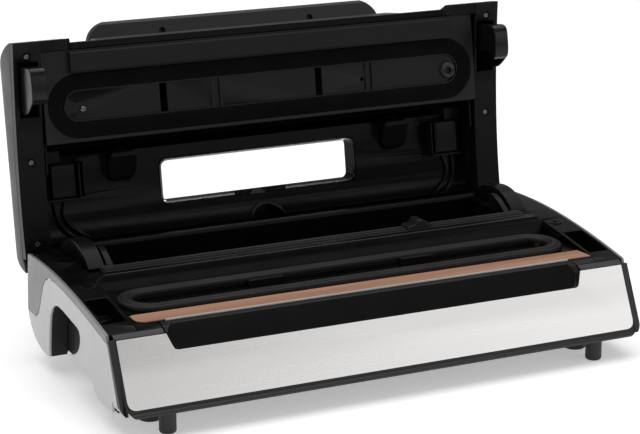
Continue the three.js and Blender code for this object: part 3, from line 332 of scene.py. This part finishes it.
sides = ("left", "right")
BUTTON_COUNT = 4
for side in sides:
    refine(f"side_cover_{side}", silver, 0.5)
    refine(f"side_trim_{side}", trim_grey, 0.3)
    refine(f"grip_liner_{side}", pan_black, 0.2)
    refine(f"hinge_cover_{side}", deck_black, 0.3)
    refine(f"hinge_pin_{side}", pin_metal, 0.3)
    refine(f"hook_{side}", hook_black, 0.7, 3, sharp=14)
    for kind in ("front_foot", "disc_foot", "rear_foot"):
        refine(f"{kind}_{side}", foot_rubber, 0.3)
    for place in ("front", "middle", "rear"):
        refine(f"rail_screw_{side}_{place}", screw_metal, 0.1)
refine("plate_screw", screw_metal, 0.1)
refine("bottom_pan", pan_black, 0.4)
refine("deck", deck_black, 0.4)
refine("front_bezel", bezel_black, 0.35)
refine("front_plate", steel, 0.15)
refine("front_ledge", ledge_black, 0.5, 3, angle=10, sharp=12)
refine("seal_tape", tape, 0.15)
refine("heating_strip", nichrome, 0.1)
refine("drip_tray", black, 0.3)
refine("cutter_rail", rail_black, 0.25)
refine("cutter_slider", slider_black, 0.3)
refine("cutter_blade", pin_metal, 0.05, 1)
refine("vacuum_pump", pump_metal, 0.6)
refine("pump_motor", motor_metal, 0.4)
refine("power_board", board_green, 0.3)
refine("control_board", board_green, 0.2)
refine("air_hose", hose_black, 0.1)
refine("mains_inlet", pan_black, 0.3)
refine("lid_cover", shell_grey, 0.6, 3, sharp=14)
refine("lid_frame", black, 0.4)
refine("gasket_plate", plate_black_sheen, 0, sharp=12)
refine("cavity_liner", black, 0.3)
refine("pressure_strip", strip_black, 0.4)
pane = refine("window_pane", clear, 0.3)
refine("window_trim", black, 0.3)
refine("air_port", slider_black, 0.15)
refine("control_panel", ledge_black, 0.2)
refine("latch_shaft", pin_metal, 0.3)
refine("handle", dark_grey, 1.0, 3, sharp=14)
for count in range(1, BUTTON_COUNT + 1):
    refine(f"button_{count}", button_grey, 0.3)


# The pane's rim is painted black; only its two broad faces are clear.
CLEAR_FACE = 0.8  # least share of a face's direction that lies along the pane's own axis
pane_axis = TURN_OPEN.to_3x3() @ Vector((0, 0, 1))
pane.data.materials.append(black)
for polygon in pane.data.polygons:
    if abs(polygon.normal.dot(pane_axis)) < CLEAR_FACE:
        polygon.material_index = 1


# ---- Small details ----
DISC_SIDES = 36


def finished(shape, name):
    """Turns a bmesh into a mesh and frees it."""
    mesh = bpy.data.meshes.new(name)
    shape.to_mesh(mesh)
    shape.free()
    return mesh


def box_mesh(name, low, high, bevel=0.2, turn=Matrix()):
    """A box with rounded edges between two corners, in mm from the middle of the deck's front edge."""
    shape = bmesh.new()
    bmesh.ops.create_cube(shape, size=1)
    for vert in shape.verts:
        vert.co = Vector(low[i] + (vert.co[i] + 0.5) * (high[i] - low[i]) for i in range(3)) * MM
        vert.co.y += DECK_FRONT
        vert.co = turn @ vert.co
    bmesh.ops.bevel(shape, geom=shape.edges, offset=bevel * MM, segments=2, affect="EDGES", profile=0.5)
    return finished(shape, name)


def disc_mesh(name, place, radius, depth, turn=Matrix(), hole=0.0):
    """A level disc or, with a hole, a washer. It stands up by its depth from a place in mm, as for a box."""
    shape = bmesh.new()
    base_point = Vector(place) * MM + Vector((0, DECK_FRONT, 0))
    turns = [math.tau * at / DISC_SIDES for at in range(DISC_SIDES)]
    rims = []
    for reach, height in ((radius, 0), (radius, depth), (hole, depth), (hole, 0)):
        if reach:
            ring = [Vector((reach * math.cos(a), reach * math.sin(a), height)) for a in turns]
            rims.append([shape.verts.new(turn @ (base_point + point * MM)) for point in ring])
    loops = rims + rims[:1] if hole else rims
    for first, second in zip(loops, loops[1:]):
        for at in range(DISC_SIDES):
            after = (at + 1) % DISC_SIDES
            shape.faces.new((first[at], first[after], second[after], second[at]))
    if not hole:
        shape.faces.new(rims[0])
        shape.faces.new(rims[1])
    bmesh.ops.recalc_face_normals(shape, faces=shape.faces)
    return finished(shape, name)


def deck_top(x, y):
    """Height of the deck, in mm, under a point in mm from the middle of its front edge."""
    deck = frame["nodes"]["deck"].data
    corners = [vert.co for vert in deck.vertices]
    tree = BVHTree.FromPolygons(corners, [face.vertices for face in deck.polygons])
    above = Vector((x * MM, DECK_FRONT + y * MM, start_bounds[1].z))
    return tree.ray_cast(above, Vector((0, 0, -1)))[0].z / MM


# Pale strip along the front of the tape on the sealing bar: a painted highlight on the tape's rounded front edge.
TAPE_EDGE = (-155, 7.5, 67.6), (157, 8.25, 69.3)
tape_edge = box_mesh("tape_edge", *TAPE_EDGE)
settle(add_object("tape_edge", tape_edge, tape_highlight_paint, "base"))

# Lighter grey bead along the front of the ridge between the vacuum channel and the roll trough: a painted
# highlight on the ridge's front edge.
RIDGE_HIGHLIGHT_BEAD = (-171, 78.5, 81), (171, 79.3, 81.75)
ridge_highlight_bead = box_mesh("ridge_highlight_bead", *RIDGE_HIGHLIGHT_BEAD)
settle(add_object("ridge_highlight_bead", ridge_highlight_bead, ridge_highlight_grey, "base"))

# Plate behind the finger notch in the cavity lining.
NOTCH_BACK = (-21, 128, 104), (21, 158, 105.2)
notch_back = box_mesh("notch_back", *NOTCH_BACK, turn=TURN_OPEN)
settle(add_object("notch_back", notch_back, black, "lid"))

# Raised rim round the small hole in each side of the deck.
HOLE_X, HOLE_Y = 186, 73
RIM_OUTER, RIM_INNER = 5.6, 4.6
RIM_HEIGHT, RIM_SUNK = 0.72, 0.5
BESIDE_HOLE = 4.8  # how far from the hole's middle the deck's height is taken
rim_base = deck_top(HOLE_X + BESIDE_HOLE, HOLE_Y) - RIM_SUNK
for side, way in zip(sides, (-1, 1)):
    rim_place = (way * HOLE_X, HOLE_Y, rim_base)
    hole_rim = disc_mesh(f"hole_rim_{side}", rim_place, RIM_OUTER, RIM_HEIGHT, hole=RIM_INNER)
    settle(add_object(f"hole_rim_{side}", hole_rim, deck_black, "base"))

# End of a boss, showing on the plate behind the finger notch.
BOSS_PLACE = (-3.5, 134.6, 101.6)
BOSS_RADIUS, BOSS_DEPTH = 7.2, 2.6
notch_boss = disc_mesh("notch_boss", BOSS_PLACE, BOSS_RADIUS, BOSS_DEPTH, TURN_OPEN)
settle(add_object("notch_boss", notch_boss, shell_grey, "lid"))


# ---- Gaskets: rubber and foam rings with a rounded section ----
RING_Y = DECK_FRONT + 48.5 * MM
RING_STRAIGHT = 150 * MM
RING_R = 17.5 * MM
RING_STEPS = 32  # steps round each end of a ring
RING_SHARP = 40


def ring_gasket(name, material, body, replaced, section, turn=Matrix()):
    """A closed ring with two straight sides, swept from a section of (distance across, height) points."""
    shape = bmesh.new()
    stations = []
    for end in (1, -1):
        centre = Vector((end * RING_STRAIGHT, RING_Y, 0))
        for step in range(RING_STEPS + 1):
            angle = math.radians(-90 + 180 * step / RING_STEPS) + (0 if end > 0 else math.pi)
            stations.append((centre, Vector((math.cos(angle), math.sin(angle), 0))))
    loops = []
    for centre, outward in stations:
        loop = []
        for across, height in section:
            point = centre + outward * (RING_R + across * MM) + Vector((0, 0, height * MM))
            loop.append(shape.verts.new(turn @ point))
        loops.append(loop)
    for first, second in zip(loops, loops[1:] + loops[:1]):
        for at in range(len(section)):
            after = (at + 1) % len(section)
            shape.faces.new((first[at], second[at], second[after], first[after]))
    bmesh.ops.recalc_face_normals(shape, faces=shape.faces)
    mesh = finished(shape, name)
    return settle(add_object(name, mesh, material, body, [replaced]), RING_SHARP)


def mirrored_section(half):
    """A whole section from its left half, which runs from its lower corner to its middle."""
    return half + [(-across, height) for across, height in reversed(half) if across]


LOWER_SECTION = mirrored_section(
    [
        (-5.5, 68.7),
        (-5.5, 70.2),
        (-5.1, 71.2),
        (-4.2, 71.9),
        (-3.2, 72.2),
        (-2.7, 71.9),
        (-2.3, 72.3),
        (-1.4, 72.9),
        (0, 73.1),
    ]
)
UPPER_SECTION = mirrored_section([(-5.5, 75.3), (-5.5, 74), (-5.3, 73.4), (-4.6, 73.2), (0, 73.15)])
ring_gasket("lower_gasket_ring", gasket_black_copper_reflection, "base", "lower_gasket", LOWER_SECTION)
ring_gasket("upper_gasket_ring", foam_black, "lid", "upper_gasket", UPPER_SECTION, TURN_OPEN)

# ---- Floor, light and camera ----
FLOOR_RADIUS = 14
FLOOR_CLEARANCE = 0.0002
FLOOR_GLOW = 0.4
SKY_STRENGTH = 0.25

shape = bmesh.new()
bmesh.ops.create_circle(shape, cap_ends=True, segments=64, radius=FLOOR_RADIUS)
floor_object = bpy.data.objects.new("floor", finished(shape, "floor"))
scene.collection.objects.link(floor_object)
floor_object.location.z = start_bounds[0].z - FLOOR_CLEARANCE
pale_floor = surface("pale_floor", (0.86, 0.86, 0.86), 0.6, vary=0.01, vary_scale=1, grain=0.02, wear_and_glint=0)
floor_shader = pale_floor.node_tree.nodes["Principled BSDF"]
floor_shader.inputs["Emission Color"].default_value = (1, 1, 1, 1)
floor_shader.inputs["Emission Strength"].default_value = FLOOR_GLOW
floor_object.data.materials.append(pale_floor)

world = bpy.data.worlds.new("studio")
scene.world = world
world.use_nodes = True
sky = world.node_tree.nodes["Background"]
sky.inputs["Color"].default_value = (1, 1, 1, 1)
sky.inputs["Strength"].default_value = SKY_STRENGTH
scene.view_settings.view_transform = "Standard"


def aimed(made, place, aim):
    """Puts a light or camera at a place, pointing at another."""
    scene.collection.objects.link(made)
    made.location = place
    made.rotation_mode = "QUATERNION"
    made.rotation_quaternion = (Vector(aim) - Vector(place)).to_track_quat("-Z", "Y")
    return made


def softbox(name, place, aim, size, power):
    """A rectangular lamp: places and sizes in metres, power in watts."""
    light = bpy.data.lights.new(name, "AREA")
    light.shape = "RECTANGLE"
    light.size, light.size_y = size
    light.energy = power
    return aimed(bpy.data.objects.new(name, light), place, aim)


softbox("overhead_light", place=(0.0, 0.3, 2.3), aim=(0, 0, 0), size=(3.2, 2.6), power=52)
softbox("plate_light", place=(2.5, -2.9, 1.35), aim=(0, -0.13, 0.05), size=(3.8, 1.7), power=23)
softbox("left_light", place=(-2.4, -0.4, 0.8), aim=(-0.2, 0, 0.06), size=(1.6, 1.2), power=9)

CAMERA_PLACE = Vector((-0.6377, -1.2369 + DECK_FRONT, 0.5176))
CAMERA_TARGET = Vector((-0.01133, 0.06576 + DECK_FRONT, 0.10449))
camera_data = bpy.data.cameras.new("camera")
camera_data.lens = 119.25
camera_data.sensor_width = 36
camera_data.shift_x = -0.0051
camera_data.shift_y = 0.0046
camera_data.clip_start = 0.05
camera_data.clip_end = 60
scene.camera = aimed(bpy.data.objects.new("camera", camera_data), CAMERA_PLACE, CAMERA_TARGET)
